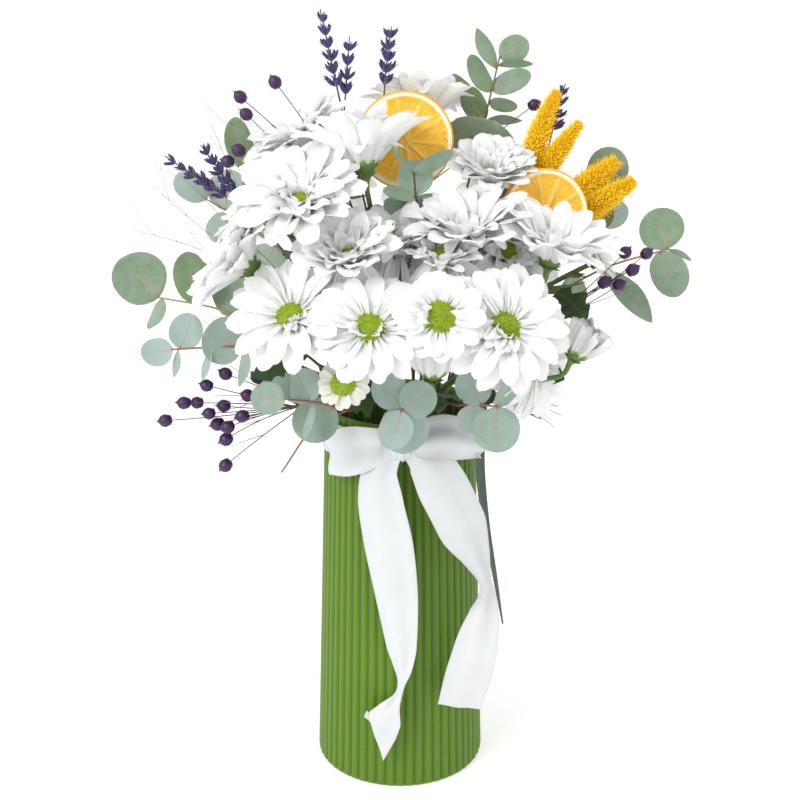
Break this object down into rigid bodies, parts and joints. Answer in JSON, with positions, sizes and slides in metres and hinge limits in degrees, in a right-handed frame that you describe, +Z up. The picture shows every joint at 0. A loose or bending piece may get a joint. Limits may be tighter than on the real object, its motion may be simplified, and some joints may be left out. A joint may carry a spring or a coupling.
{
  "type": "daisy bouquet in vase",
  "caption": "Loose mixed bouquet of white daisies, eucalyptus, dried fruit slices and seed heads in a tall ribbed vase with a ribbon bow.",
  "frame": {"origin": "centre of the vase's flat foot, on the surface it stands on", "axes": "+Z up along the vase, -Y to the front with the ribbon's bow, +X to the right seen from the front"},
  "size_m": [0.3526, 0.251, 0.4941],
  "materials": {
    "vase": "satin green glaze",
    "water": "clear",
    "ribbon": "satin",
    "daisy_stem": "soft plant stem and disc",
    "petal": "soft petal",
    "eucalyptus": "waxy leaf",
    "flax": "dried and dyed",
    "lavender": "dried",
    "foxtail": "dried and dyed, bristly",
    "orange": "dried fruit",
    "pick": "plain",
    "grass": "dry grass"
  },
  "bodies": {
    "root": {"daisy_petals_back": "petal", "daisy_petals_back_left": "petal", "daisy_petals_back_right": "petal", "daisy_petals_centre": "petal", "daisy_petals_centre_left": "petal", "daisy_petals_centre_right": "petal", "daisy_petals_front": "petal", "daisy_petals_front_inner": "petal", "daisy_petals_front_left": "petal", "daisy_petals_front_low": "petal", "daisy_petals_front_right": "petal", "daisy_petals_front_small": "petal", "daisy_petals_left_back": "petal", "daisy_petals_left_high": "petal", "daisy_petals_left_low": "petal", "daisy_petals_right_back": "petal", "daisy_petals_right_bud": "petal", "daisy_petals_right_high": "petal", "daisy_petals_right_inner": "petal", "daisy_petals_right_low": "petal", "daisy_petals_right_top": "petal", "daisy_petals_right_upper": "petal", "daisy_petals_top_back": "petal", "daisy_petals_top_centre": "petal", "daisy_petals_top_left": "petal", "daisy_spray_back": "daisy_stem", "daisy_spray_front": "daisy_stem", "daisy_spray_left": "daisy_stem", "daisy_spray_right": "daisy_stem", "daisy_spray_upper": "daisy_stem", "daisy_spray_upper_right": "daisy_stem", "eucalyptus_back_left": "eucalyptus", "eucalyptus_back_right": "eucalyptus", "eucalyptus_centre": "eucalyptus", "eucalyptus_front": "eucalyptus", "eucalyptus_front_left": "eucalyptus", "eucalyptus_front_right": "eucalyptus", "eucalyptus_left": "eucalyptus", "eucalyptus_left_high": "eucalyptus", "eucalyptus_right": "eucalyptus", "eucalyptus_top_left": "eucalyptus", "eucalyptus_top_right": "eucalyptus", "flax_left": "flax", "flax_right": "flax", "flax_top": "flax", "foxtail_inner": "foxtail", "foxtail_outer": "foxtail", "grass_blade": "grass", "lavender_left": "lavender", "lavender_right": "lavender", "lavender_top": "lavender", "lavender_top_left": "lavender", "orange_pick_centre": "pick", "orange_pick_right": "pick", "orange_slice_centre": "orange", "orange_slice_right": "orange", "ribbon": "ribbon", "vase": "vase", "water": "water"}
  },
  "joints": []
}
